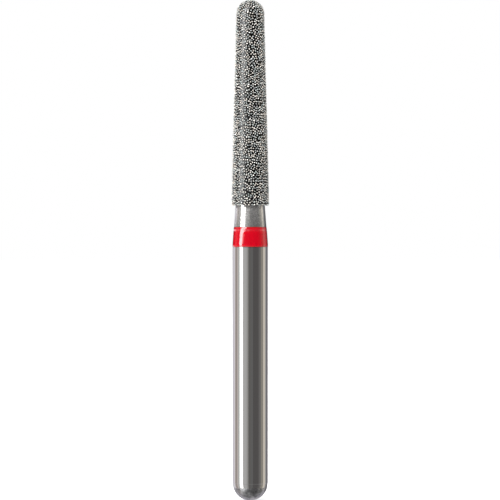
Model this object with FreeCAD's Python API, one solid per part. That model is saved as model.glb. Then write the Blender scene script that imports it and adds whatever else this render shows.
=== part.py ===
"""A conical round-end diamond bur with a friction-grip shank, for a dental turbine handpiece.

The bur is made as the real one is. One steel blank is ground from bar: shank, ring seat, neck
and the core of the head. The head is plated with nickel that holds a layer of diamond grit, and
a ring of lacquer on the neck gives the grit's grade. All three are bodies of revolution.
Heights run up the axis from the tip of the shank's rounded end. Lengths are in millimetres and
angles in degrees.
"""

import FreeCAD, Part
import math
import os

# The shank has the standard diameter that a friction-grip chuck holds.
SHANK_DIAMETER = 1.60
SHANK_LENGTH = 11.52
END_EDGE_BREAK = 0.01

# The colour ring lies on the first stretch of taper above the shank.
RING_WIDTH = 0.91
RING_SEAT_HALF_ANGLE = 3.9
RING_FILM = 0.010
RING_CROWN = 0.004

# The bare neck narrows from the ring to the head and ends in a short straight land.
NECK_LENGTH = 0.98
NECK_LAND = 0.12

# The head is measured over its coating. The shoulder is the step from the neck out to the core.
HEAD_LENGTH = 9.34
HEAD_DIAMETER = 1.70
HEAD_HALF_ANGLE = 1.5
SHOULDER_DEPTH = 0.12
COATING = 0.055

shank_radius = SHANK_DIAMETER / 2
end_radius = shank_radius - END_EDGE_BREAK
core_radius = HEAD_DIAMETER / 2 - COATING
neck_radius = core_radius - SHOULDER_DEPTH

ring_low = SHANK_LENGTH
ring_high = ring_low + RING_WIDTH
head_low = ring_high + NECK_LENGTH
shoulder = head_low + COATING
tip = head_low + HEAD_LENGTH
core_tip = tip - COATING


def direction(angle):
    """A unit step in the half section, at an angle above the outward radius."""
    return FreeCAD.Vector(math.cos(math.radians(angle)), 0, math.sin(math.radians(angle)))


def at(radius, height):
    """A point of the half section, which lies in the XZ plane."""
    return FreeCAD.Vector(radius, 0, height)


def round_end_radius(base_radius, base_height, tip_height, half_angle):
    """The radius of the sphere that closes a cone at tip_height and meets it without an edge."""
    slope = math.radians(half_angle)
    radius_at_tip = base_radius - (tip_height - base_height) * math.tan(slope)
    return radius_at_tip * math.cos(slope) / (1 - math.sin(slope))


core_round = round_end_radius(core_radius, shoulder, core_tip, HEAD_HALF_ANGLE)
round_centre = at(0, core_tip - core_round)
core_corner = at(core_radius, shoulder)


def line(start, end):
    return Part.LineSegment(start, end).toShape()


def arc(centre, radius, start_angle, end_angle):
    """An arc of the half section, from one angle above the outward radius to another."""
    middle_angle = (start_angle + end_angle) / 2
    points = [centre + direction(a) * radius for a in (start_angle, middle_angle, end_angle)]
    return Part.Arc(*points).toShape()


def revolve(edges):
    """One closed solid from a half section whose edges follow each other round."""
    section = Part.Face(Part.Wire(edges))
    solid = section.revolve(at(0, 0), FreeCAD.Vector(0, 0, 1), 360)
    solid = Part.Solid(solid.Shells[0]) if solid.ShapeType != "Solid" else solid
    if solid.Volume < 0:
        solid.reverse()
    return solid


def steel_blank():
    """The turned and ground steel, from the rounded end of the shank to the core of the head."""
    end_centre = at(0, end_radius)
    end_rim = end_centre + direction(0) * end_radius
    shank_low = at(shank_radius, end_radius + END_EDGE_BREAK)
    shank_high = at(shank_radius, ring_low)
    seat_drop = RING_WIDTH * math.tan(math.radians(RING_SEAT_HALF_ANGLE))
    seat_high = at(shank_radius - seat_drop, ring_high)
    neck_high = at(neck_radius, head_low - NECK_LAND)
    neck_root = at(neck_radius, shoulder)
    core_high = round_centre + direction(HEAD_HALF_ANGLE) * core_round
    return revolve([
        arc(end_centre, end_radius, -90, 0),
        line(end_rim, shank_low),
        line(shank_low, shank_high),
        line(shank_high, seat_high),
        line(seat_high, neck_high),
        line(neck_high, neck_root),
        line(neck_root, core_corner),
        line(core_corner, core_high),
        arc(round_centre, core_round, HEAD_HALF_ANGLE, 90),
        line(at(0, core_tip), at(0, 0)),
    ])


def diamond_coating():
    """The nickel and its grit, one even layer over the core that turns under its lower corner."""
    neck_low = at(neck_radius, head_low)
    neck_root = at(neck_radius, shoulder)
    core_high = round_centre + direction(HEAD_HALF_ANGLE) * core_round
    outer_high = round_centre + direction(HEAD_HALF_ANGLE) * (core_round + COATING)
    outer_low = core_corner + direction(HEAD_HALF_ANGLE) * COATING
    under_corner = core_corner + direction(-90) * COATING
    return revolve([
        line(neck_low, neck_root),
        line(neck_root, core_corner),
        line(core_corner, core_high),
        arc(round_centre, core_round, HEAD_HALF_ANGLE, 90),
        line(at(0, core_tip), at(0, tip)),
        arc(round_centre, core_round + COATING, 90, HEAD_HALF_ANGLE),
        line(outer_high, outer_low),
        arc(core_corner, COATING, HEAD_HALF_ANGLE, -90),
        line(under_corner, neck_low),
    ])


def colour_ring():
    """The film of lacquer on its seat, with round edges and a slight crown between them."""
    up_the_seat = direction(90 + RING_SEAT_HALF_ANGLE)
    off_the_seat = direction(RING_SEAT_HALF_ANGLE)
    seat_length = RING_WIDTH / math.cos(math.radians(RING_SEAT_HALF_ANGLE))
    seat_low = at(shank_radius, ring_low)

    def on_ring(along, off):
        return seat_low + up_the_seat * along + off_the_seat * off

    inner_end = seat_length - RING_FILM
    low_edge = on_ring(RING_FILM, 0)
    high_edge = on_ring(inner_end, 0)
    crown = Part.Arc(
        on_ring(RING_FILM, RING_FILM),
        on_ring(seat_length / 2, RING_FILM + RING_CROWN),
        on_ring(inner_end, RING_FILM),
    )
    out = RING_SEAT_HALF_ANGLE
    return revolve([
        arc(low_edge, RING_FILM, out - 90, out),
        crown.toShape(),
        arc(high_edge, RING_FILM, out, out + 90),
        line(on_ring(seat_length, 0), seat_low),
    ])


def main():
    os.makedirs("parts", exist_ok=True)
    pieces = {
        "steel_blank": steel_blank(),
        "diamond_coating": diamond_coating(),
        "colour_ring": colour_ring(),
    }
    for name, solid in pieces.items():
        solid.exportStep(f"parts/{name}.step")
        box = solid.optimalBoundingBox()
        print(f"{name}: {solid.ShapeType}, valid {solid.isValid()}, volume {solid.Volume:.4f},")
        print(f"  across {box.XLength:.3f}, heights {box.ZMin:.3f} to {box.ZMax:.3f}")


main()
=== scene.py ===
# %% [markdown]
# # A diamond bur for a dental turbine
#
# This notebook dresses a bur that was modelled in CAD. The CAD part gives the true sizes, and it is
# loaded first as a fixed frame. Everything after that stands exactly on it: each place on the bur
# is worked out from the frame, in metres. Only the finishes and the lights are chosen.

# %% Load the imported part
import math

import bpy
import numpy as np
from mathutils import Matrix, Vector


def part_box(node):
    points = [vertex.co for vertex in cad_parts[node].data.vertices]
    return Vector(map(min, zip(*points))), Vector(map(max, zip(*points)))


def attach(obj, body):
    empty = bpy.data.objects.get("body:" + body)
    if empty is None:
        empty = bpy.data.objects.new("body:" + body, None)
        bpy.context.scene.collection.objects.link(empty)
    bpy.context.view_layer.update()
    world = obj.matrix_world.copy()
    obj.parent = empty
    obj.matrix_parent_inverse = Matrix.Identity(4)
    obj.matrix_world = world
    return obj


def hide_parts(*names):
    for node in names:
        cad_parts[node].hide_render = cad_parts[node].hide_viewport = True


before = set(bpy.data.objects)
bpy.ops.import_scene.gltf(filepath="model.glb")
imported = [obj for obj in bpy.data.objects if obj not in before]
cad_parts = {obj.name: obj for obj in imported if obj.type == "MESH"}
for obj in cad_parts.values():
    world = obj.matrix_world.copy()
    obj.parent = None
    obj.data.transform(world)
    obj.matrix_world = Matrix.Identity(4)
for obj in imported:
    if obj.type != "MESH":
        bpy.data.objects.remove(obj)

bpy.context.view_layer.update()
print("nodes:", sorted(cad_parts))

# %% [markdown]
# ## Read the sizes off the frame
#
# A bur is turned, so its whole shape is in its half section: the radius at each height. Each CAD
# node is a mesh, and the outermost point at each height gives that radius. It would be quicker to
# type the sizes in again, but then a change in the CAD part would leave this script behind.

# %% Measure the half section
MM = 0.001
DIGITS = 8


def rows(node):
    """The (height, radius) pairs of a turned node's points, from its lowest to its highest."""
    points = [v.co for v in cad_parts[node].data.vertices]
    pairs = {(round(p.z, DIGITS), round(math.hypot(p.x, p.y), DIGITS)) for p in points}
    return sorted(pairs)


def radius_at(node, height):
    """A turned node's outer radius at a height, read along the line between its rows."""
    outer = {}
    for z, radius in rows(node):
        outer[z] = max(radius, outer.get(z, 0))
    return float(np.interp(height, list(outer), list(outer.values())))


blank_low, blank_high = (corner.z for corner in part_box("steel_blank"))
ring_low, ring_high = (corner.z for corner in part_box("colour_ring"))
head_low, head_high = (corner.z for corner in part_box("diamond_coating"))
shank_radius = radius_at("steel_blank", (blank_low + ring_low) / 2)
seat_top_radius = radius_at("steel_blank", ring_high)
neck_rows = [(radius, z) for z, radius in rows("steel_blank") if ring_high < z < head_low]
neck_radius, neck_top = min(neck_rows)
head_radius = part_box("diamond_coating")[1].x
coating = head_high - blank_high
core_radius = head_radius - coating
print(f"shank {shank_radius / MM:.3f}, neck {neck_radius / MM:.3f}, head {head_radius / MM:.3f}")
print(f"ring {ring_low / MM:.2f} to {ring_high / MM:.2f}, coating {coating / MM:.3f} thick")

# %% [markdown]
# ## The cone and the ball of the head
#
# The head is a slim cone, and a ball closes it at the tip. The ball touches the cone without an
# edge, so its radius isn't free: it follows from the cone's radius at the tip and from the taper.
# The taper is read from the core's radius at two heights, both clear of the shoulder and the ball.

# %% Find the taper and the round end
CLEAR_OF_SHOULDER = 1 * MM
CLEAR_OF_TIP = 2 * MM

shoulder = head_low + coating
taper_low = shoulder + CLEAR_OF_SHOULDER
taper_high = head_high - CLEAR_OF_TIP
taper_drop = radius_at("steel_blank", taper_low) - radius_at("steel_blank", taper_high)
head_taper = math.atan2(taper_drop, taper_high - taper_low)
taper_degrees = math.degrees(head_taper)
radius_at_tip = core_radius - (blank_high - shoulder) * math.tan(head_taper)
core_round = radius_at_tip * math.cos(head_taper) / (1 - math.sin(head_taper))
round_centre = blank_high - core_round
print(f"head tapers {taper_degrees:.2f} degrees a side to a ball of {core_round / MM:.3f}")

# %% [markdown]
# ## Helpers for building node trees
#
# Trees can be clicked together or written down. Written down, they can be read like the rest of the
# script and come out the same each time. `add` makes one node and plugs in what it needs, and
# `new_tree` makes an empty tree with named inputs, which then show in the modifier or the group.

# %% Build nodes by name


def plug(tree, socket, value):
    """Links another node's output to the socket, or sets the socket to a plain value."""
    if isinstance(value, bpy.types.NodeSocket):
        tree.links.new(value, socket)
    else:
        socket.default_value = value


def open_socket(sockets, name):
    """The socket in use with this name, because some nodes hold one for each kind of value."""
    return next(s for s in sockets if s.name == name and s.enabled)


def add(tree, kind, inputs=None, **settings):
    """Adds a node, fills its inputs by name or number and returns its first output."""
    made = tree.nodes.new(kind)
    for name, value in settings.items():
        setattr(made, name, value)
    for name, value in (inputs or {}).items():
        by_number = isinstance(name, int)
        socket = made.inputs[name] if by_number else open_socket(made.inputs, name)
        plug(tree, socket, value)
    return next((s for s in made.outputs if s.enabled), None)


def new_tree(name, kind, inputs, outputs):
    """An empty tree with named sockets: the tree, its inputs by name and its output node."""
    tree = bpy.data.node_groups.new(name, kind)
    for way, sockets in (("INPUT", inputs), ("OUTPUT", outputs)):
        for socket, socket_type in sockets.items():
            tree.interface.new_socket(socket, in_out=way, socket_type="NodeSocket" + socket_type)
    given = tree.nodes.new("NodeGroupInput").outputs
    return tree, given, tree.nodes.new("NodeGroupOutput")


print("node helpers:", [helper.__name__ for helper in (plug, add, new_tree)])

# %% [markdown]
# ## Sums, blends and centred noise
#
# Nearly every tree does sums, blends two values and uses a noise. These small helpers keep such
# lines short enough to read as formulas. A noise texture swings about a middle grey, so it is
# centred on 0 before it pushes something both ways.

# %% Sums, blends and noise
NOISE_MIDDLE = 0.5


def maths(tree, operation, *values):
    """One Math node, with its inputs in order."""
    return add(tree, "ShaderNodeMath", dict(enumerate(values)), operation=operation)


def scaled(tree, vector, factor):
    """A vector or a colour, times a factor."""
    return add(tree, "ShaderNodeVectorMath", {0: vector, "Scale": factor}, operation="SCALE")


def mix(tree, share, a, b, kind="FLOAT"):
    """a where the share is 0, b where it is 1."""
    return add(tree, "ShaderNodeMix", {"Factor": share, "A": a, "B": b}, data_type=kind)


def centred(tree, noise):
    """A noise that swings about 0 instead of about its middle."""
    return maths(tree, "SUBTRACT", noise, NOISE_MIDDLE)


print("more node helpers:", [helper.__name__ for helper in (maths, scaled, mix, centred)])

# %% [markdown]
# ## The studio's white background
#
# A product shot has a plain white ground. The world is white to the camera, and a softer grey to
# anything polished, because bare metal shows whatever stands around it. One world can do both,
# since the Light Path node tells which kind of ray has reached it.

# %% World
BACKGROUND_WHITE = 1.0
WALLS_IN_METAL = 0.62
ROOM_LIGHT = 0.60

world = bpy.data.worlds.new("studio")
bpy.context.scene.world = world
world.use_nodes = True
room = world.node_tree
room.nodes.clear()
ray = add(room, "ShaderNodeLightPath").node.outputs
for_metal = maths(room, "MAXIMUM", ray["Is Glossy Ray"], ray["Is Transmission Ray"])
indoors = mix(room, for_metal, ROOM_LIGHT, WALLS_IN_METAL)
level = mix(room, ray["Is Camera Ray"], indoors, BACKGROUND_WHITE)
glow = add(room, "ShaderNodeBackground", {"Color": (1, 1, 1, 1), "Strength": level})
add(room, "ShaderNodeOutputWorld", {"Surface": glow})
bpy.context.scene.view_settings.view_transform = "Standard"
print("world: camera", BACKGROUND_WHITE, "metal", WALLS_IN_METAL, "room", ROOM_LIGHT)

# %% [markdown]
# ## The floor
#
# The floor is an ordinary white surface at the height of the bur's lowest point, so it takes the
# bur's shadow. Paint alone would look greyer than the background, so a little light of its own
# lifts it for the camera. The bur doesn't mirror it, because it would hide the panels.

# %% Floor
FLOOR_HALF_WIDTH = 3.0
FLOOR_BOUNCE = (0.80, 0.80, 0.80, 1)
FLOOR_SEEN = (1.0, 1.0, 1.0, 1)
FLOOR_LIFT = 0.46
FLOOR_SIDES = ((-1, -1), (1, -1), (1, 1), (-1, 1))


def floor_paint():
    """White paint that is lifted a little for the camera, so that it meets the background."""
    paint = bpy.data.materials.new("white floor")
    paint.use_nodes = True
    tree = paint.node_tree
    shader = tree.nodes["Principled BSDF"].inputs
    seen = add(tree, "ShaderNodeLightPath")
    plug(tree, shader["Base Color"], mix(tree, seen, FLOOR_BOUNCE, FLOOR_SEEN, "RGBA"))
    plug(tree, shader["Specular IOR Level"], 0.0)
    plug(tree, shader["Emission Color"], FLOOR_SEEN)
    plug(tree, shader["Emission Strength"], maths(tree, "MULTIPLY", seen, FLOOR_LIFT))
    return paint


def set_piece(name, points, faces, paint):
    """A plain mesh of the studio, with one paint."""
    mesh = bpy.data.meshes.new(name)
    mesh.from_pydata(points, [], faces)
    mesh.materials.append(paint)
    made = bpy.data.objects.new(name, mesh)
    bpy.context.scene.collection.objects.link(made)
    return made


corners = [(x * FLOOR_HALF_WIDTH, y * FLOOR_HALF_WIDTH, blank_low) for x, y in FLOOR_SIDES]
floor = set_piece("floor", corners, [(0, 1, 2, 3)], floor_paint())
floor.visible_glossy = False
print("floor:", 2 * FLOOR_HALF_WIDTH, "m wide, under the bur's lowest point")

# %% [markdown]
# ## Light that depends on who sees it
#
# A polished pin has almost no colour of its own: what reads as steel is a row of upright stripes,
# and each stripe is a panel that stands in the studio. A pin reflects the whole room, so a stripe's
# place tells where its panel stands: a panel at an angle A from the camera shows at sin(A / 2) of
# the radius. The height matters too. The upright shank shows what is level with it, while the
# tapers of the lacquer and the neck show what is higher up. So one panel has a strength for each of
# them, and changes at the heights between, as a photographer does with cards.

# %% A glow that changes with the height
TENT_RADIUS = 0.6
SHANK_SEES_TO = 2.0
LACQUER_SEES_TO = 8.5
NECK_SEES_TO = 12.0
SEEN_TO = (SHANK_SEES_TO, LACQUER_SEES_TO, NECK_SEES_TO)
# The camera looks up at the ring and the neck by this many degrees.
EYE_TILT = 0.45
# Straight behind the bur the bow is 0, which can't be divided by.
LEAST_BOW = 0.0001


def stand(angle):
    """The height at which a panel is seen at this angle above the horizon, from the bur."""
    return blank_high / 2 + TENT_RADIUS * math.tan(math.radians(angle))


def glow_paint(name, colour, levels):
    """A light of one colour. levels has one strength, or four: for what the shank sees, the middle
    of the lacquer, the neck and the lacquer's upper rim.

    A tilted surface sees a point at twice its tilt above the horizon if the point is straight in
    front, and lower by cos(A / 2) if it is round to the side. The height is measured along that
    bow. The square of cos(A / 2) is half of 1 + cos A, and cos A is -Y over the tent's radius."""
    paint = bpy.data.materials.new(name)
    paint.use_nodes = True
    tree = paint.node_tree
    tree.nodes.clear()
    strength = levels[0]
    if len(levels) > 1:
        place = add(tree, "ShaderNodeTexCoord").node.outputs["Object"]
        apart = add(tree, "ShaderNodeSeparateXYZ", {"Vector": place}).node.outputs
        square = maths(tree, "MULTIPLY_ADD", apart["Y"], -0.5 / TENT_RADIUS, 0.5)
        bow = maths(tree, "SQRT", maths(tree, "MAXIMUM", square, LEAST_BOW))
        height = maths(tree, "SUBTRACT", apart["Z"], stand(EYE_TILT))
        height = maths(tree, "DIVIDE", height, bow)
    for angle, below, above in zip(SEEN_TO, levels, levels[1:]):
        over = maths(tree, "GREATER_THAN", height, stand(angle) - stand(0))
        strength = maths(tree, "MULTIPLY_ADD", over, above - below, strength)
    light = add(tree, "ShaderNodeEmission", {"Color": (*colour, 1), "Strength": strength})
    add(tree, "ShaderNodeOutputMaterial", {"Surface": light})
    return paint


print("panels change at", SEEN_TO, "degrees above the horizon")

# %% [markdown]
# ## A bendable panel
#
# Real panels are cloth on frames. Here one is a piece of a round tent about the bur, so that an
# angle is all it takes to place its sides. Its sides may lean or bend, since they are given at
# as many heights as needed. It is hidden from the camera and casts no shadow. It either shows in
# the metal or lights the rough surfaces, never both, so each job can be set without the other.

# %% Panels
PANEL_STEP = 3.0
LOWEST, HIGHEST = -62, 56


def steps_for(span):
    """How many points a span of degrees needs, with its two ends."""
    return math.ceil(span / PANEL_STEP) + 1


def panel(name, edges, paint, lights_room=False):
    """An upright panel. edges has a (height, left, right) row for each height at which it bends:
    the height above the horizon and the angles from the camera of its two sides, in degrees."""
    heights, left, right = (np.array(column, float) for column in zip(*edges))
    rows_up = np.linspace(heights[0], heights[-1], steps_for(np.ptp(heights)))
    rows_up = np.union1d(rows_up, heights)
    across = steps_for((right - left).max())
    points = []
    for height in rows_up:
        ends = (np.interp(height, heights, side) for side in (left, right))
        for a in np.radians(np.linspace(*ends, across)):
            points.append((TENT_RADIUS * math.sin(a), -TENT_RADIUS * math.cos(a), stand(height)))
    firsts = [row * across + k for row in range(len(rows_up) - 1) for k in range(across - 1)]
    faces = [(k, k + 1, k + 1 + across, k + across) for k in firsts]
    made = set_piece(name, points, faces, paint)
    made.visible_camera = False
    made.visible_diffuse = lights_room
    made.visible_glossy = not lights_room
    made.visible_shadow = False
    return made


def upright(left, right, low=LOWEST, high=HIGHEST):
    """The edges of a panel with upright sides."""
    return (low, left, right), (high, left, right)


print("panels stand", TENT_RADIUS, "m away and reach from", LOWEST, "to", HIGHEST, "degrees")

# %% [markdown]
# ## The stripes of the steel
#
# The row of panels goes once round the bur, from behind its left side over the front to behind its
# right side. Bright ones at the sides and a dark one in front give the look of a round, polished
# bar. Low down, two tables stand in for the panels behind and on the right. They are what the
# rounded end of the shank shows, because that end looks downward.

# %% Stripes
GREY = (1, 1, 1)
ASH = (1.0, 0.98, 0.95)
ROSE = (1.0, 0.96, 0.96)
WARM = (1.0, 0.93, 0.82)
COOL = (0.95, 0.92, 1.0)
PINK = (1.0, 0.90, 0.85)
OLIVE = (1.0, 0.94, 0.82)
MINT = (0.93, 1.0, 0.96)
REAR_FROM, REAR_LOW = 126, -22
RIGHT_FROM, RIGHT_LOW = 75, -30
ROUND_TO_LEFT = 241
RIM_GLOW = 0.05


def lower_edge(left, right):
    """Where a stripe ends below: the rear and right ones end above a table."""
    if abs(left + right) / 2 > REAR_FROM:
        return REAR_LOW
    return RIGHT_LOW if left >= RIGHT_FROM else LOWEST


# Each row has the angles of the two sides, and the strength for the shank, the ring and the neck.
for name, left, right, colour, shank, ring, neck in (
    ("rear_left_grey", -180, -150, COOL, 0.50, 0.02, 0.80),
    ("rear_left_white", -150, -119, COOL, 1.00, 0.03, 1.40),
    ("left_dim", -119, -109, PINK, 0.62, 0.22, 0.90),
    ("left_brown", -109, -97, PINK, 0.46, 0.20, 0.44),
    ("left_pink", -97, -88, PINK, 0.76, 0.08, 0.92),
    ("left_grey", -88, -80, GREY, 0.64, 0.06, 0.72),
    ("left_mint", -80, -73, MINT, 0.95, 0.05, 0.45),
    ("front_white", -50, -28, GREY, 0.62, 0.02, 0.92),
    ("front_pale", -28, -20, GREY, 0.55, 0.02, 0.86),
    ("front_grey", -20, -12, ASH, 0.42, 0.02, 0.80),
    ("front_ash", -12, -5, ASH, 0.18, 0.02, 0.62),
    ("front_dim", -5, 3, ASH, 0.18, 0.02, 0.36),
    ("front_dark", 3, 18, GREY, 0.18, 0.02, 0.21),
    ("front_black", 18, 52, ROSE, 0.13, 0.02, 0.17),
    ("front_edge", 52, 62, ROSE, 0.16, 0.04, 0.18),
    ("right_dark", 62, 75, ASH, 0.23, 0.06, 0.28),
    ("right_olive", 75, 94, OLIVE, 0.39, 0.17, 0.56),
    ("right_beige", 94, 114, WARM, 0.88, 0.50, 1.20),
    ("right_grey", 114, 126, GREY, 0.50, 0.30, 0.45),
    ("rear_right_dark", 126, 150, COOL, 0.24, 0.06, 0.14),
    ("rear_right_cool", 150, 180, COOL, 0.30, 0.05, 0.22),
):
    levels = (shank, ring, neck, ring + RIM_GLOW)
    low = lower_edge(left, right)
    panel(name, upright(left, right, low), glow_paint(name, colour, levels))
    print(f"{name}: {left} to {right} degrees, strength {shank} on the shank")

for name, left, right, high, colour, glow in (
    ("rear_table", REAR_FROM, ROUND_TO_LEFT, REAR_LOW, COOL, 0.75),
    ("right_table", RIGHT_FROM, REAR_FROM, RIGHT_LOW, GREY, 0.24),
):
    panel(name, upright(left, right, LOWEST, high), glow_paint(name, colour, (glow,)))
    print(f"{name}: below {high} degrees, strength {glow}")

# %% [markdown]
# ## The strip light
#
# The white line down the bur is a strip light, brighter than the rest and thin. Its lower part is
# upright and serves the shank. Its upper part is bowed: it leans over with height, so the line
# bends over on the lacquer's rounded upper edge, and widens again where the neck sees it.

# %% Strips
BOWED = (
    (2.0, -76, -56),
    (5.0, -78, -57.5),
    (6.1, -77.5, -56),
    (6.5, -75, -57.5),
    (7.0, -72, -56.5),
    (7.45, -71, -50),
    (8.2, -71, -38.5),
    (9.0, -70, -38),
    (13.0, -67.5, -36),
    (16.8, -64, -30),
    (22.0, -59, -24.5),
    (HIGHEST, -50, -16),
)
LOW_STRIP_FROM = -34
for name, edges, glow in (
    ("low_strip", upright(-72, -49, LOW_STRIP_FROM, SHANK_SEES_TO), 2.5),
    ("high_strip", BOWED, 6.5),
):
    panel(name, edges, glow_paint(name, GREY, (glow,)))
    print(f"{name}: from {edges[0][0]} to {edges[-1][0]} degrees up, strength {glow}")

# %% [markdown]
# ## Soft light, hard light and a dark ground
#
# Rough grit and red paint need light that falls on them. A wide soft panel on the left and a weaker
# one on the right do most of it. A small strong one in front on the left gives each crystal a light
# and a dark side. None of them shows in the metal. A dark disc far below does the opposite: it
# lights nothing and is there to be seen in the steel, where it darkens the very bottom.

# %% Soft panels and the dark disc
DARK_DISC = 0.34
DISC_CORNERS = 48

for name, left, right, low, high, glow in (
    ("soft_key", -100, -10, -22, 42, 1.5),
    ("hard_key", -52, -22, 4, 40, 9.0),
    ("soft_fill", 70, 125, -1, 40, 1.3),
):
    edges = upright(left, right, low, high)
    panel(name, edges, glow_paint(name, GREY, (glow,)), lights_room=True)
    print(f"{name}: {left} to {right} degrees, strength {glow}")

turns = np.linspace(0, math.tau, DISC_CORNERS, endpoint=False)
rim = [(TENT_RADIUS * math.cos(a), TENT_RADIUS * math.sin(a), stand(LOWEST)) for a in turns]
disc_paint = glow_paint("dark_disc", GREY, (DARK_DISC,))
disc = set_piece("dark_disc", rim, [range(DISC_CORNERS)], disc_paint)
disc.visible_camera = disc.visible_diffuse = disc.visible_shadow = False
print(f"dark disc: {-stand(LOWEST):.2f} m below the bur, strength {DARK_DISC}")

# %% [markdown]
# ## The camera
#
# The picture shows the bur square from the side, from top edge to bottom edge, with a long lens.
# The distance follows from the lens: the frame is as wide at the bur as the picture is in
# millimetres. The lens axis passes the bur a hair to one side of its middle.

# %% Camera
LENS = 200.0
SENSOR = 36.0
PICTURE_WIDTH = 22.734 * MM
EYE_LEVEL = 11.386 * MM
EYE_ASIDE = -0.011 * MM

camera_data = bpy.data.cameras.new("camera")
camera_data.lens = LENS
camera_data.sensor_width = SENSOR
camera_data.clip_start = MM
camera = bpy.data.objects.new("camera", camera_data)
bpy.context.scene.collection.objects.link(camera)
camera_distance = LENS * PICTURE_WIDTH / SENSOR
camera.location = (EYE_ASIDE, -camera_distance, EYE_LEVEL)
camera.rotation_euler = (math.radians(90), 0, 0)
bpy.context.scene.camera = camera
print(f"camera {camera_distance / MM:.1f} mm away")

# %% [markdown]
# ## A lathe in Geometry Nodes
#
# Three of the bur's four visible layers are turned: the steel, the nickel and the lacquer. In
# Blender a round body can be spun from its outline with the Spin tool or the Screw modifier. Here
# a small tree does it, so that each piece is only its half section. A circle is the path, the half
# section is swept along it, and the points that meet on the axis are merged.

# %% Lathe: sweep the half section round
PATH_RADIUS = 1 * MM
SAME_POINT = 1e-8

lathe, given, turned = new_tree(
    "lathe",
    "GeometryNodeTree",
    {
        "Half section": "Geometry",
        "Steps around": "Int",
        "Lump height": "Float",
        "Lumps per metre": "Float",
        "Finish": "Material",
    },
    {"Turned": "Geometry"},
)
outline = add(lathe, "GeometryNodeMeshToCurve", {"Mesh": given["Half section"]})
place = add(lathe, "GeometryNodeInputPosition")
apart = add(lathe, "ShaderNodeSeparateXYZ", {"Vector": place}).node.outputs
off_path = maths(lathe, "SUBTRACT", apart["X"], PATH_RADIUS)
downward = maths(lathe, "MULTIPLY", apart["Z"], -1.0)
laid_flat = add(lathe, "ShaderNodeCombineXYZ", {"X": off_path, "Y": downward})
outline = add(lathe, "GeometryNodeSetPosition", {"Geometry": outline, "Position": laid_flat})
path = add(
    lathe,
    "GeometryNodeCurvePrimitiveCircle",
    {"Resolution": given["Steps around"], "Radius": PATH_RADIUS},
)
swept = add(lathe, "GeometryNodeCurveToMesh", {"Curve": path, "Profile Curve": outline})
swept = add(lathe, "GeometryNodeFlipFaces", {"Mesh": swept})
closed = add(lathe, "GeometryNodeMergeByDistance", {"Geometry": swept, "Distance": SAME_POINT})
print("lathe tree:", len(lathe.nodes), "nodes for the sweep")

# %% [markdown]
# ## Lumps and crisp corners
#
# The rest of the lathe finishes the surface. Plated metal is a little lumpy, so a noise can push
# the surface along its normal. Shading is smooth all over, except where two faces meet at a real
# corner: there the edge is marked sharp, so a ground shoulder stays crisp in the light.

# %% Lathe: lumps, corners and finish
SHARP_OVER = math.radians(18)
LUMP_DETAIL = 2.0

noise = {"Scale": given["Lumps per metre"], "Detail": LUMP_DETAIL}
lumps = centred(lathe, add(lathe, "ShaderNodeTexNoise", noise))
push = maths(lathe, "MULTIPLY", lumps, given["Lump height"])
offset = scaled(lathe, add(lathe, "GeometryNodeInputNormal"), push)
lumpy = add(lathe, "GeometryNodeSetPosition", {"Geometry": closed, "Offset": offset})
bend = add(lathe, "GeometryNodeInputMeshEdgeAngle")
corner = add(lathe, "FunctionNodeCompare", {"A": bend, "B": SHARP_OVER}, operation="GREATER_THAN")
smooth = add(lathe, "GeometryNodeSetShadeSmooth", {"Geometry": lumpy, "Shade Smooth": True})
edged = add(
    lathe,
    "GeometryNodeSetShadeSmooth",
    {"Geometry": smooth, "Selection": corner, "Shade Smooth": False},
    domain="EDGE",
)
whole = add(lathe, "GeometryNodeRealizeInstances", {"Geometry": edged})
dressed = add(lathe, "GeometryNodeSetMaterial", {"Geometry": whole, "Material": given["Finish"]})
plug(lathe, turned.inputs["Turned"], dressed)
print("lathe tree:", len(lathe.nodes), "nodes in all")

# %% [markdown]
# ## From a tree to a plain mesh
#
# A modifier works out its shape each time the file is opened. The part needs plain meshes, so each
# tree is run once, its result is kept and the modifier is taken off. The helpers below do that, and
# draw half sections from points and arcs.

# %% Run a tree and keep its plain mesh


def grow(name, start, tree, values):
    """A new piece whose mesh is what the tree makes of the start mesh, with no modifier left."""
    piece = bpy.data.objects.new(name, start)
    modifier = piece.modifiers.new(tree.name, "NODES")
    modifier.node_group = tree
    for item in tree.interface.items_tree:
        if item.in_out == "INPUT" and item.name in values:
            modifier[item.identifier] = values[item.name]
    bpy.context.scene.collection.objects.link(piece)
    graph = bpy.context.evaluated_depsgraph_get()
    plain = bpy.data.meshes.new_from_object(
        piece.evaluated_get(graph), preserve_all_data_layers=True, depsgraph=graph
    )
    piece.modifiers.clear()
    piece.data = plain
    plain.name = name
    bpy.data.meshes.remove(start)
    return piece


def half_section(points, closed=False):
    """A mesh of edges from (radius, height) points, upward on the outside of the piece."""
    mesh = bpy.data.meshes.new("half section")
    edges = [(k, k + 1) for k in range(len(points) - 1)]
    edges += [(len(points) - 1, 0)] if closed else []
    mesh.from_pydata([(radius, 0, height) for radius, height in points], edges, [])
    return mesh


def arc(radius, height, ball, start, end, steps):
    """Points on an arc about (radius, height), between angles above the outward radius."""
    angles = np.radians(np.linspace(start, end, steps + 1))
    return [(radius + ball * math.cos(a), height + ball * math.sin(a)) for a in angles]


def between(start, end, steps):
    """Evenly spaced points after start, up to and with end."""
    return [tuple(p) for p in np.linspace(start, end, steps + 1)[1:]]


print("shape helpers:", [helper.__name__ for helper in (grow, half_section, arc, between)])

# %% [markdown]
# ## Where a finish lies: the band group
#
# A shader group is a tool that more than one material can pick up. `band` marks a stretch of the
# bur between two heights, with a wavering edge, for where the polish stops or the lacquer thins.
# It reads the object's own coordinates, so it stays in place from whatever side it is seen.

# %% Band group
WAVER_DETAIL = 3.0


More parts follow.
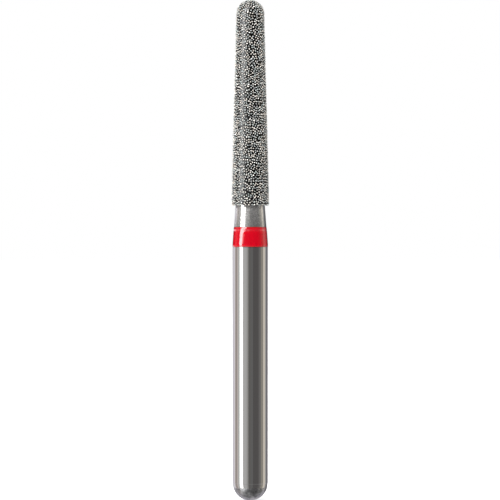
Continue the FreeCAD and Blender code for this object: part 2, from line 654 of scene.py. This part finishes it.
def ramp_up(tree, value, edge, softness):
    """0 below the edge and 1 above it, with a soft change that is softness wide."""
    half = maths(tree, "MULTIPLY", softness, 0.5)
    start = maths(tree, "SUBTRACT", edge, half)
    end = maths(tree, "ADD", edge, half)
    return add(
        tree,
        "ShaderNodeMapRange",
        {"Value": value, "From Min": start, "From Max": end},
        interpolation_type="SMOOTHSTEP",
    )


def place_and_height(tree):
    """The object's own coordinates, and the height alone."""
    place = add(tree, "ShaderNodeTexCoord").node.outputs["Object"]
    return place, add(tree, "ShaderNodeSeparateXYZ", {"Vector": place}).node.outputs["Z"]


band, given, out = new_tree(
    "band",
    "ShaderNodeTree",
    {"From": "Float", "To": "Float", "Softness": "Float", "Waver": "Float", "Waves": "Float"},
    {"Inside": "Float"},
)
place, height = place_and_height(band)
noise = {"Vector": place, "Scale": given["Waves"], "Detail": WAVER_DETAIL}
wave = centred(band, add(band, "ShaderNodeTexNoise", noise))
height = maths(band, "ADD", height, maths(band, "MULTIPLY", wave, given["Waver"]))
above = ramp_up(band, height, given["From"], given["Softness"])
beyond = ramp_up(band, height, given["To"], given["Softness"])
plug(band, out.inputs["Inside"], maths(band, "SUBTRACT", above, beyond))
print("band group:", len(band.nodes), "nodes")

# %% [markdown]
# ## Unevenness: the speckle group
#
# No ground, plated or blasted metal is even. `speckle` gives two masks for that from two noises:
# fine speckles, and blotches a few times as wide. Their contrast is an input, because a noise by
# itself keeps close to its middle grey.

# %% Speckle group
SPECKLE_DETAIL = 3.0
SPECKLE_SCALES = {"Speckle": 1.0, "Blotches": 0.3}

speckle, given, out = new_tree(
    "speckle",
    "ShaderNodeTree",
    {"Grains per metre": "Float", "Contrast": "Float"},
    {"Speckle": "Float", "Blotches": "Float"},
)
place = add(speckle, "ShaderNodeTexCoord").node.outputs["Object"]
for name, share in SPECKLE_SCALES.items():
    scale = maths(speckle, "MULTIPLY", given["Grains per metre"], share)
    noise = {"Vector": place, "Scale": scale, "Detail": SPECKLE_DETAIL}
    swing = centred(speckle, add(speckle, "ShaderNodeTexNoise", noise))
    spread = maths(speckle, "MULTIPLY", swing, given["Contrast"])
    lifted = maths(speckle, "ADD", spread, NOISE_MIDDLE)
    lifted.node.use_clamp = True
    plug(speckle, out.inputs[name], lifted)
print("speckle group:", len(speckle.nodes), "nodes")

# %% [markdown]
# ## Helpers for finishes
#
# A finish here is one Principled shader. What is the same all over the piece is set straight on the
# shader's own sockets, so that it stays readable there. Only what changes from place to place gets
# nodes, and its place comes from one of the two groups.

# %% Materials and their masks
# Noise is scaled in waves per metre, so the bur needs thousands.
FINE = 9000.0


def new_material(name, **plain):
    """A material with one Principled shader, whose plain values are set on its own sockets."""
    material = bpy.data.materials.new(name)
    material.use_nodes = True
    shader = material.node_tree.nodes["Principled BSDF"]
    for socket, value in plain.items():
        shader.inputs[socket.replace("_", " ")].default_value = value
    return material, material.node_tree, shader.inputs


def use_group(tree, group, inputs):
    """Places a shader group with its own values and returns its outputs."""
    made = tree.nodes.new("ShaderNodeGroup")
    made.node_tree = group
    for name, value in inputs.items():
        plug(tree, made.inputs[name], value)
    return made.outputs


def between_heights(tree, low, high, softness, waver, waves):
    """The band group's mask from one height to another."""
    heights = {"From": low, "To": high}
    edge = {"Softness": softness, "Waver": waver, "Waves": waves}
    return use_group(tree, band, {**heights, **edge})["Inside"]


def grain_of(tree, fineness, contrast):
    """The speckle group's masks, with its fineness as a multiple of FINE."""
    return use_group(tree, speckle, {"Grains per metre": fineness * FINE, "Contrast": contrast})


def bump(tree, height, depth):
    """A bump that is as deep as the height says, in metres for a height of 1."""
    return add(tree, "ShaderNodeBump", {"Height": height, "Strength": 1.0, "Distance": depth})


finish_helpers = (new_material, use_group, between_heights, grain_of, bump)
print("finish helpers:", [helper.__name__ for helper in finish_helpers])

# %% [markdown]
# ## Where the steel is polished, satin or dull
#
# One bar of steel has three finishes. The shank is ground and polished until it mirrors the room,
# because the chuck grips it. The neck is satin, and the rounded end is left dull. Three materials
# could share the piece face by face, but then the polish would stop at a mesh edge. Masks by height
# let it stop where the photograph shows it, at a wavering line on the ball of the end.

# %% Steel: masks
BELOW_THE_BUR = -1 * MM
POLISH_FROM = 0.60 * MM
POLISH_EDGE = 0.02 * MM
POLISH_WAVER = 0.10 * MM
STEEL_FINENESS = 2.2
STEEL_CONTRAST = 3.4

steel, tree, shader = new_material("steel")
dull = between_heights(tree, BELOW_THE_BUR, POLISH_FROM, POLISH_EDGE, POLISH_WAVER, FINE)
satin = between_heights(tree, ring_high, shoulder, POLISH_EDGE, 0.0, FINE)
grain = grain_of(tree, STEEL_FINENESS, STEEL_CONTRAST)
print(f"dull below {POLISH_FROM / MM:.2f}, satin from {ring_high / MM:.2f} to {shoulder / MM:.2f}")

# %% [markdown]
# ## The colour, gloss and relief of the steel
#
# The masks now choose between three sets of values. Satin steel is speckled and partly matt. Its
# colour also carries painted light and shade: it is painted lighter towards the head and darker by
# the ring. Its grain turns the light only slightly, so the stripes of the room stay soft but
# upright. Dull steel is blotchy, darker and rougher, with a stronger relief.

# %% Steel: values
POLISHED_TINT = (0.60, 0.59, 0.58, 1)
SATIN_TINTS = (0.44, 0.43, 0.42, 1), (0.72, 0.71, 0.695, 1)
DULL_TINTS = (0.24, 0.24, 0.245, 1), (0.60, 0.60, 0.61, 1)
# Painted light and shade: the satin colour is scaled darker by the ring and lighter by the head.
SATIN_PAINTED_SHADE_BY_RING, SATIN_PAINTED_LIGHT_BY_HEAD = 0.88, 1.16
POLISHED_ROUGH = 0.045
SATIN_ROUGH = 0.07, 0.17
DULL_ROUGH = 0.32
SATIN_METAL = 0.85
SATIN_RELIEF, DULL_RELIEF = 0.07, 3.0
STEEL_RELIEF_DEPTH = 0.004 * MM

height = place_and_height(tree)[1]
# The satin tint is scaled with the height, from painted shade by the ring to painted light by the
# head.
up_neck = {"From Min": ring_high, "From Max": head_low}
painted_light_range = {"To Min": SATIN_PAINTED_SHADE_BY_RING, "To Max": SATIN_PAINTED_LIGHT_BY_HEAD}
brighter = add(tree, "ShaderNodeMapRange", {"Value": height, **up_neck, **painted_light_range})
satin_speckle_and_painted_light = scaled(tree, mix(tree, grain["Speckle"], *SATIN_TINTS, "RGBA"), brighter)
dull_tone = mix(tree, grain["Blotches"], *DULL_TINTS, "RGBA")
tone = mix(tree, satin, POLISHED_TINT, satin_speckle_and_painted_light, "RGBA")
plug(tree, shader["Base Color"], mix(tree, dull, tone, dull_tone, "RGBA"))
rough = mix(tree, satin, POLISHED_ROUGH, mix(tree, grain["Speckle"], *SATIN_ROUGH))
plug(tree, shader["Roughness"], mix(tree, dull, rough, DULL_ROUGH))
plug(tree, shader["Metallic"], mix(tree, satin, 1.0, SATIN_METAL))


def relief_of(tree, noise, where, depth):
    """A noise's ups and downs, only where the mask is, at a share of the bump's depth."""
    return maths(tree, "MULTIPLY", centred(tree, noise), maths(tree, "MULTIPLY", where, depth))


fine_relief = relief_of(tree, grain["Speckle"], satin, SATIN_RELIEF)
coarse_relief = relief_of(tree, grain["Blotches"], dull, DULL_RELIEF)
relief = maths(tree, "ADD", fine_relief, coarse_relief)
plug(tree, shader["Normal"], bump(tree, relief, STEEL_RELIEF_DEPTH))
print("steel:", len(tree.nodes), "nodes")

# %% [markdown]
# ## The turned blank
#
# Shank, ring seat, neck and the core of the head are one piece of steel, so they are one half
# section. It starts on the axis under the rounded end, passes each step that the grinder left, and
# ends on the axis inside the head. Straight walls get a row close to each corner: the shading then
# turns only there, and the long mirror of the shank stays true.

# %% Blank
BLANK_STEPS = 256
END_STEPS = 40
SHANK_ROWS = 8
RING_SEAT_ROWS = 4
NECK_ROWS = 6
CORE_END_STEPS = 16
EDGE_BREAK = 0.01 * MM
GUARD = 0.03 * MM
NECK_LAND = 0.02 * MM

end_ball = shank_radius - EDGE_BREAK
neck_slope = (seat_top_radius - neck_radius) / (neck_top - ring_high)
land_radius = neck_radius - neck_slope * (head_low - NECK_LAND - neck_top)
shank_start = (shank_radius, blank_low + shank_radius)
shank_guard = (shank_radius, blank_low + shank_radius + GUARD)
ring_seat_low = (shank_radius, ring_low)
ring_seat_high = (seat_top_radius, ring_high)
core_end = arc(0, round_centre, core_round, taper_degrees, 90, CORE_END_STEPS)
core_end[-1] = (0, blank_high)
blank_points = [
    (0, blank_low),
    *arc(0, blank_low + end_ball, end_ball, -90, 0, END_STEPS)[1:],
    shank_start,
    shank_guard,
    *between(shank_guard, (shank_radius, ring_low - GUARD), SHANK_ROWS),
    ring_seat_low,
    *between(ring_seat_low, ring_seat_high, RING_SEAT_ROWS),
    *between(ring_seat_high, (land_radius, head_low - NECK_LAND), NECK_ROWS),
    (land_radius, shoulder),
    (core_radius, shoulder),
    *core_end,
]
turned_blank = grow(
    "turned_blank",
    half_section(blank_points),
    lathe,
    {"Steps around": BLANK_STEPS, "Finish": steel},
)
print("blank:", len(turned_blank.data.polygons), "faces")

# %% [markdown]
# ## The nickel's finish
#
# The diamonds are held by nickel that was plated up around them. Between the grains it shows as a
# dark skin, because little light reaches it, and its colour is painted near black there as painted
# shade, far darker than bare nickel. It is still a metal: where it faces the strip light it mirrors
# it, and the gaps between the grains light up as a line of sparkles down the head. So it is
# painted dark but glossy, with a speckled tint and a slight relief.

# %% Nickel finish
# Painted shade: these near-black tints stand for the shade between the grains, with a random
# speckle.
NICKEL_SPECKLE_AND_PAINTED_SHADE = (0.02, 0.02, 0.02, 1), (0.11, 0.11, 0.11, 1)
NICKEL_ROUGH = 0.14, 0.26
NICKEL_FINENESS = 3.0
NICKEL_CONTRAST = 3.0
NICKEL_RELIEF_DEPTH = 0.002 * MM

nickel, tree, shader = new_material("nickel", Metallic=1.0)
grain = grain_of(tree, NICKEL_FINENESS, NICKEL_CONTRAST)
plug(tree, shader["Base Color"], mix(tree, grain["Speckle"], *NICKEL_SPECKLE_AND_PAINTED_SHADE, "RGBA"))
plug(tree, shader["Roughness"], mix(tree, grain["Blotches"], *NICKEL_ROUGH))
plug(tree, shader["Normal"], bump(tree, grain["Speckle"], NICKEL_RELIEF_DEPTH))
print("nickel:", len(tree.nodes), "nodes")

# %% [markdown]
# ## The nickel layer
#
# The nickel is turned like the blank, as a closed layer over the core, with lumps from the lathe.
# It stays below the coating's true surface, because that surface lies at the tips of the grains.
# Towards the head's lower corner it sinks deeper, so that the grains there keep to the outline.

# %% Nickel layer
BOND_DEPTH = 0.008 * MM
CORNER_DEPTH = 0.022 * MM
CORNER_REACH = 0.7 * MM
CORNER_STEPS = 6
BOND_END_STEPS = 24
BOND_STEPS = 160
BOND_ROWS = 140
LUMP_HEIGHT = 0.008 * MM
LUMPS_PER_METRE = 12000.0

bond = coating - BOND_DEPTH
corner_bond = coating - CORNER_DEPTH


def over_core(rows_up):
    """The outside of the nickel on the core, from its lower corner to the axis at the tip."""
    low = arc(core_radius, shoulder, corner_bond, -90, taper_degrees, CORNER_STEPS)
    high = arc(0, round_centre, core_round + bond, taper_degrees, 90, BOND_END_STEPS)
    high[-1] = (0, high[-1][1])
    reach = shoulder + CORNER_REACH
    full = (high[0][0] + (high[0][1] - reach) * math.tan(head_taper), reach)
    return [*low, full, *between(full, high[0], rows_up), *high[1:]]


bond_points = [
    *reversed(core_end),
    (core_radius, shoulder),
    (neck_radius, shoulder),
    (neck_radius, shoulder - corner_bond),
    *over_core(BOND_ROWS),
]
nickel_bond = grow(
    "nickel_bond",
    half_section(bond_points),
    lathe,
    {
        "Steps around": BOND_STEPS,
        "Lump height": LUMP_HEIGHT,
        "Lumps per metre": LUMPS_PER_METRE,
        "Finish": nickel,
    },
)
print("nickel:", len(nickel_bond.data.polygons), "faces")

# %% [markdown]
# ## The diamonds' finish
#
# Crushed diamond for tools is yellowish to greenish grey. A clear crystal would need light that
# passes through it many times, which is slow and doesn't show at this size, so the grains are solid
# and very glossy. Each has a shade of its own, drawn at random when it is placed, and a colour ramp
# turns that shade into one of these tints.

# %% Diamond finish
DARKEST, LIGHTEST = (0.44, 0.44, 0.45, 1), (1.0, 0.98, 0.92, 1)
GREENISH, YELLOWISH = (0.62, 0.69, 0.67, 1), (0.95, 0.87, 0.78, 1)

diamond, tree, shader = new_material("diamond", Roughness=0.12, IOR=2.4)
shade = add(tree, "ShaderNodeAttribute", attribute_name="shade").node.outputs["Fac"]
shades = add(tree, "ShaderNodeValToRGB", {"Fac": shade})
stops = shades.node.color_ramp.elements
stops[0].color = DARKEST
stops[1].color = LIGHTEST
for where, tint in ((0.3, GREENISH), (0.7, YELLOWISH)):
    stops.new(where).color = tint
plug(tree, shader["Base Color"], shades)
print("diamond: tints at", [round(stop.position, 2) for stop in stops])

# %% [markdown]
# ## One crystal, eight times
#
# Thousands of small crystals cover the head. Each could be a bump in the material, but then the
# outline would stay smooth and no face would catch the light. So they are real. A crystal is a ball
# of twelve corners that are knocked about and wrapped in a convex hull, which gives flat faces and
# sharp edges, as crushed diamond has. Eight different ones, each turned at random, are enough.

# %% Grit tree: the crystals
CRYSTAL_KINDS = 8

grit, given, scattered = new_tree(
    "grit",
    "GeometryNodeTree",
    {
        "Seat": "Geometry",
        "Spacing": "Float",
        "Tries per area": "Float",
        "Smallest": "Float",
        "Largest": "Float",
        "Knock": "Vector",
        "Seed": "Int",
        "Finish": "Material",
    },
    {"Grains": "Geometry"},
)


def chance(kind, low, high, seed):
    """A random value of this kind for each point or grain."""
    limits = {"Min": low, "Max": high, "Seed": seed}
    return add(grit, "FunctionNodeRandomValue", limits, data_type=kind)


def crystal(seed):
    """One crystal, a ball of twelve corners that are knocked about and wrapped."""
    ball = add(grit, "GeometryNodeMeshIcoSphere", {"Radius": 1.0, "Subdivisions": 1})
    back = scaled(grit, given["Knock"], -1.0)
    knock = chance("FLOAT_VECTOR", back, given["Knock"], seed)
    moved = add(grit, "GeometryNodeSetPosition", {"Geometry": ball, "Offset": knock})
    hull = add(grit, "GeometryNodeConvexHull", {"Geometry": moved})
    return add(grit, "GeometryNodeGeometryToInstance", {"Geometry": hull})


kinds = grit.nodes.new("GeometryNodeJoinGeometry")
for seed in range(CRYSTAL_KINDS):
    grit.links.new(crystal(seed), kinds.inputs["Geometry"])
print("grit tree:", CRYSTAL_KINDS, "kinds of crystal")

# %% [markdown]
# ## Scatter, size and shade
#
# Sprinkled at random, grains would pile up in one place and leave another bare. Plated grit lies in
# one layer, so the tree spreads its points with Poisson disks: it tries many, and drops each one
# that is closer than the spacing to another. Then it puts a crystal on each point, turned and sized
# at random, and notes the grain's shade and number for later.

# %% Grit tree: the scatter
SIZE_SEED, KIND_SEED, TURN_SEED, SHADE_SEED = 21, 22, 23, 24
WHOLE_TURNS = (math.tau,) * 3

points = add(
    grit,
    "GeometryNodeDistributePointsOnFaces",
    {
        "Mesh": given["Seat"],
        "Distance Min": given["Spacing"],
        "Density Max": given["Tries per area"],
        "Seed": given["Seed"],
    },
    distribute_method="POISSON",
)
placed = add(
    grit,
    "GeometryNodeInstanceOnPoints",
    {
        "Points": points,
        "Instance": kinds.outputs["Geometry"],
        "Pick Instance": True,
        "Instance Index": chance("INT", 0, CRYSTAL_KINDS - 1, KIND_SEED),
        "Rotation": chance("FLOAT_VECTOR", (0, 0, 0), WHOLE_TURNS, TURN_SEED),
        "Scale": chance("FLOAT", given["Smallest"], given["Largest"], SIZE_SEED),
    },
)
for name, kind, value in (
    ("shade", "FLOAT", chance("FLOAT", 0.0, 1.0, SHADE_SEED)),
    ("grain", "INT", add(grit, "GeometryNodeInputIndex")),
):
    note = {"Geometry": placed, "Name": name, "Value": value}
    placed = add(
        grit, "GeometryNodeStoreNamedAttribute", note, data_type=kind, domain="INSTANCE"
    )
whole = add(grit, "GeometryNodeRealizeInstances", {"Geometry": placed})
flat = add(grit, "GeometryNodeSetShadeSmooth", {"Geometry": whole, "Shade Smooth": False})
dressed = add(grit, "GeometryNodeSetMaterial", {"Geometry": flat, "Material": given["Finish"]})
plug(grit, scattered.inputs["Grains"], dressed)
print("grit tree:", len(grit.nodes), "nodes")

# %% [markdown]
# ## The grains on the head
#
# The grains sit on a seat of their own: the nickel's outside, from the head's lower corner to the
# tip, turned with fewer steps and thrown away afterwards. The real grit of a fine bur, which a red
# ring stands for, is smaller still. This spacing gives the speckle that the photograph shows.

# %% Scatter the grains
GRAIN_SPACING = 0.092 * MM
SMALLEST_GRAIN, LARGEST_GRAIN = 0.031 * MM, 0.040 * MM
GRAIN_TRIES = 1.6e9
GRAIN_KNOCK = (0.36, 0.36, 0.36)
GRAIN_SEED = 5
SEAT_ROWS = 60
SEAT_STEPS = 96
# The first points of the corner face down to the neck, where no grain lies.
SEAT_STARTS_AT = 2

seat_points = over_core(SEAT_ROWS)[SEAT_STARTS_AT:]
seat = grow("seat", half_section(seat_points), lathe, {"Steps around": SEAT_STEPS})
seat_mesh = seat.data
bpy.data.objects.remove(seat)
diamond_grains = grow(
    "diamond_grains",
    seat_mesh,
    grit,
    {
        "Spacing": GRAIN_SPACING,
        "Tries per area": GRAIN_TRIES,
        "Smallest": SMALLEST_GRAIN,
        "Largest": LARGEST_GRAIN,
        "Knock": GRAIN_KNOCK,
        "Seed": GRAIN_SEED,
        "Finish": diamond,
    },
)


def read(items, name, kind):
    """One plain value of every item, as an array."""
    values = np.zeros(len(items), kind)
    items.foreach_get(name, values)
    return values


grain_mesh = diamond_grains.data
grain_count = read(grain_mesh.attributes["grain"].data, "value", np.int32).max() + 1
corner_counts = read(grain_mesh.polygons, "loop_total", np.int32)
print("grains:", grain_count, "triangles:", (corner_counts - 2).sum())

# %% [markdown]
# ## A palette for the grains
#
# A model that leaves Blender keeps its colours in a picture, and a UV map says which part of the
# picture each face shows. Unwrapped one by one, so many thousand faces would get less than a pixel
# each. But a grain has one shade all over, so the map works like a painter's palette: it has a
# cell for each of 256 shades, and every face lies in the cell of its grain's shade.

# %% Lay the faces in their shade's cell
PALETTE_SIDE = 16
SHADES = PALETTE_SIDE**2
CELL_MIDDLE = 0.5
FACE_IN_CELL = 0.35

drawn = read(grain_mesh.attributes["shade"].data, "value", np.float32)
level = np.minimum((drawn * SHADES).astype(int), SHADES - 1)
rounded = ((level + CELL_MIDDLE) / SHADES).astype(np.float32)
grain_mesh.attributes["shade"].data.foreach_set("value", rounded)
cell = level[read(grain_mesh.loops, "vertex_index", np.int32)]
first_corners = np.repeat(read(grain_mesh.polygons, "loop_start", np.int32), corner_counts)
turn = (np.arange(len(cell)) - first_corners) / np.repeat(corner_counts, corner_counts) * math.tau
across = (cell % PALETTE_SIDE + CELL_MIDDLE + FACE_IN_CELL * np.cos(turn)) / PALETTE_SIDE
up = (cell // PALETTE_SIDE + CELL_MIDDLE + FACE_IN_CELL * np.sin(turn)) / PALETTE_SIDE
palette = grain_mesh.uv_layers.new(name="OFBake")
palette.data.foreach_set("uv", np.stack([across, up], axis=1).astype(np.float32).ravel())
print("palette:", len(set(level)), "shades")
print("map: from", across.min().round(3), "to", across.max().round(3))

# %% [markdown]
# ## The red of the lacquer
#
# The ring gives the grade of the grit. Lacquer is a colour under a clear gloss, so the shader has a
# coat over its base. The film thins to nothing at its edges, and there the steel under it makes
# the red darker. The band group marks the full red between them, with a slight waver, because
# paint never stops on a perfect line.

# %% Lacquer finish
THIN_EDGE = 0.03 * MM
THIN_SOFTNESS = 0.03 * MM
THIN_WAVER = 0.02 * MM
THIN_WAVES = FINE / 4
THIN_RED, FULL_RED = (0.42, 0.012, 0.008, 1), (0.61, 0.001, 0.012, 1)

lacquer, tree, shader = new_material(
    "red lacquer", Roughness=0.05, IOR=1.6, Coat_Weight=1.0, Coat_Roughness=0.03, Coat_IOR=1.6
)
thin_by = (THIN_SOFTNESS, THIN_WAVER, THIN_WAVES)
middle = between_heights(tree, ring_low + THIN_EDGE, ring_high - THIN_EDGE, *thin_by)
plug(tree, shader["Base Color"], mix(tree, middle, THIN_RED, FULL_RED, "RGBA"))
print("lacquer:", len(tree.nodes), "nodes")

# %% [markdown]
# ## The film of lacquer
#
# The film is about a hundredth of a millimetre thick, and its edges matter more than its thickness:
# there the surface turns, and the stripe of the strip light bends over with it. The photograph
# shows that bend only at the top, so the lower edge is full and the upper one rounder. A power of
# the height shapes both: the higher the power, the later and the sharper the turn.

# %% Lacquer film
FILM = 0.014 * MM
LOW_EDGE_POWER = 18
HIGH_EDGE_POWER = 8
FILM_ROWS = 48
RING_STEPS = 256

seat_angle = math.atan2(shank_radius - seat_top_radius, ring_high - ring_low)


def film_point(share):
    """A point of the film's surface, at a share of the way up the seat."""
    radius = shank_radius + (seat_top_radius - shank_radius) * share
    height = ring_low + (ring_high - ring_low) * share
    power = HIGH_EDGE_POWER if share > 0.5 else LOW_EDGE_POWER
    thick = FILM * (1 - abs(2 * share - 1) ** power)
    return radius + thick * math.cos(seat_angle), height + thick * math.sin(seat_angle)


def film_share(k):
    """Shares that crowd towards both edges, where the film turns."""
    return (1 - math.cos(math.pi * k / FILM_ROWS)) / 2


ring_points = [film_point(film_share(k)) for k in range(FILM_ROWS + 1)]
lacquer_ring = grow(
    "lacquer_ring",
    half_section(ring_points, closed=True),
    lathe,
    {"Steps around": RING_STEPS, "Finish": lacquer},
)
print("ring:", len(lacquer_ring.data.polygons), "faces")

# %% [markdown]
# ## Tie each piece to the frame
#
# Every piece rides on the bur's one body, and the CAD node that it stands for is hidden. The nickel
# and the grains both stand for the coating.

# %% Ride and hide the CAD nodes
for piece, slot, node in (
    (turned_blank, "steel", "steel_blank"),
    (nickel_bond, "diamond_grit", "diamond_coating"),
    (diamond_grains, "diamond_grit", "diamond_coating"),
    (lacquer_ring, "red_lacquer", "colour_ring"),
):
    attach(piece, "root")
    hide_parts(node)
    print(piece.name, "stands for", node)

# %% [markdown]
# ## Bring the scene up to date
# #
# # The dressed bur is meant to fill the same box as the CAD part. The last step brings the view
# # layer up to date.

# %% Update the view layer
bpy.context.view_layer.update()
